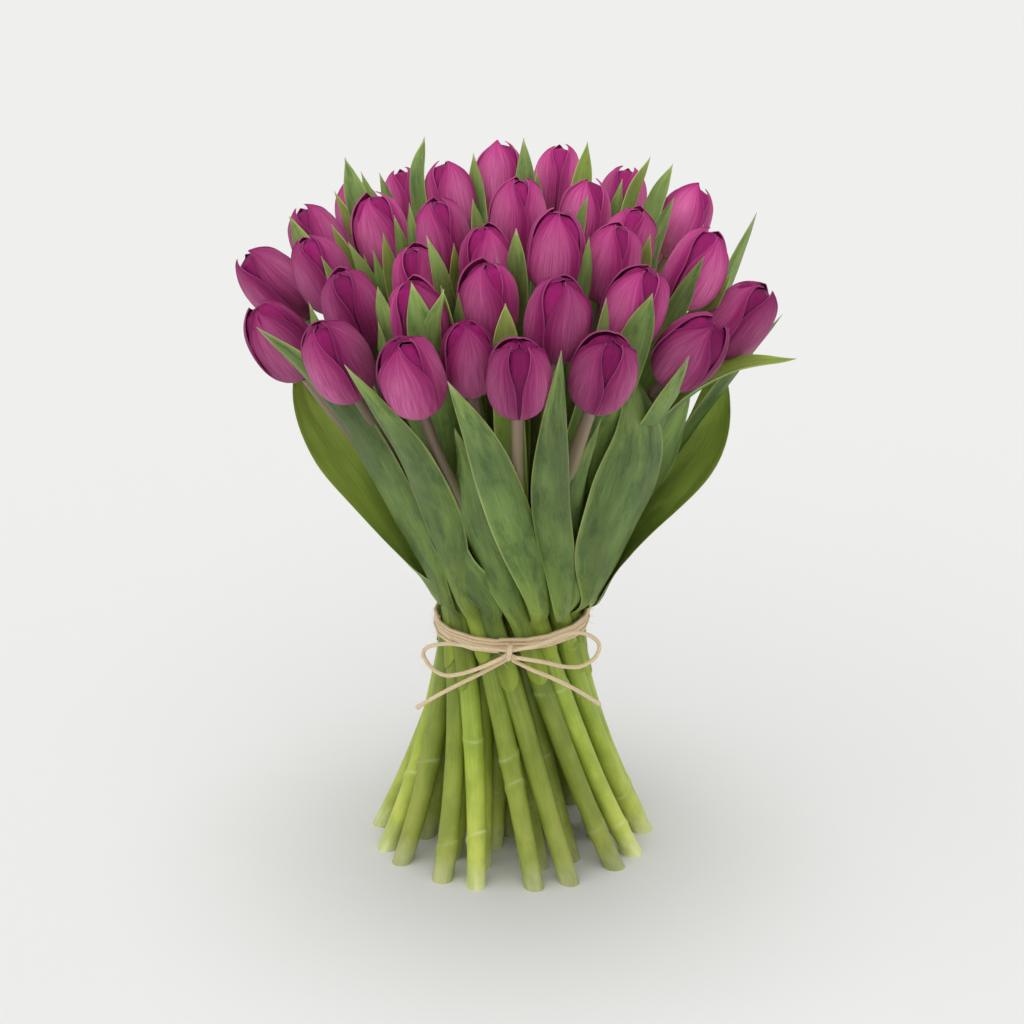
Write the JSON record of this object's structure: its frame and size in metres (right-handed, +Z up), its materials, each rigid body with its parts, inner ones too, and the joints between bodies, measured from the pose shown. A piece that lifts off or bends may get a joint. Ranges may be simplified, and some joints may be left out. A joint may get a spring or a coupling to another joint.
{
  "type": "bunch of tulips",
  "caption": "Hand-tied spiral bunch of closed purple tulips with grey-green leaves, bound by a twine bow and standing on its cut stems.",
  "frame": {"origin": "on the surface that the cut stem ends stand on, under the middle of the bunch", "axes": "+Z up along the stems, -Y towards the twine bow, +X to the right as the bow is seen"},
  "size_m": [0.277, 0.2646, 0.379],
  "materials": {
    "petal": "soft satin, finely streaked",
    "green": "waxy, faintly ribbed",
    "twine": "matt twisted fibre"
  },
  "bodies": {
    "root": {"bloom_01": "petal", "bloom_02": "petal", "bloom_03": "petal", "bloom_04": "petal", "bloom_05": "petal", "bloom_06": "petal", "bloom_07": "petal", "bloom_08": "petal", "bloom_09": "petal", "bloom_10": "petal", "bloom_11": "petal", "bloom_12": "petal", "bloom_13": "petal", "bloom_14": "petal", "bloom_15": "petal", "bloom_16": "petal", "bloom_17": "petal", "bloom_18": "petal", "bloom_19": "petal", "bloom_20": "petal", "bloom_21": "petal", "bloom_22": "petal", "bloom_23": "petal", "bloom_24": "petal", "bloom_25": "petal", "bloom_26": "petal", "bloom_27": "petal", "bloom_28": "petal", "bloom_29": "petal", "bloom_30": "petal", "bloom_31": "petal", "bloom_32": "petal", "bloom_33": "petal", "bloom_34": "petal", "bloom_35": "petal", "bloom_36": "petal", "bloom_37": "petal", "leafy_stems_1_01": "green", "leafy_stems_1_02": "green", "leafy_stems_1_03": "green", "leafy_stems_2_01": "green", "leafy_stems_2_02": "green", "leafy_stems_2_03": "green", "leafy_stems_2_04": "green", "leafy_stems_2_05": "green", "leafy_stems_2_06": "green", "leafy_stems_3_01": "green", "leafy_stems_3_02": "green", "leafy_stems_3_03": "green", "leafy_stems_3_04": "green", "leafy_stems_3_05": "green", "leafy_stems_3_06": "green", "leafy_stems_3_07": "green", "leafy_stems_3_08": "green", "leafy_stems_3_09": "green", "twine_wraps_knot": "twine", "bow_loop_left": "twine", "bow_loop_right": "twine", "twine_tail_left": "twine", "twine_tail_right": "twine"}
  },
  "joints": []
}
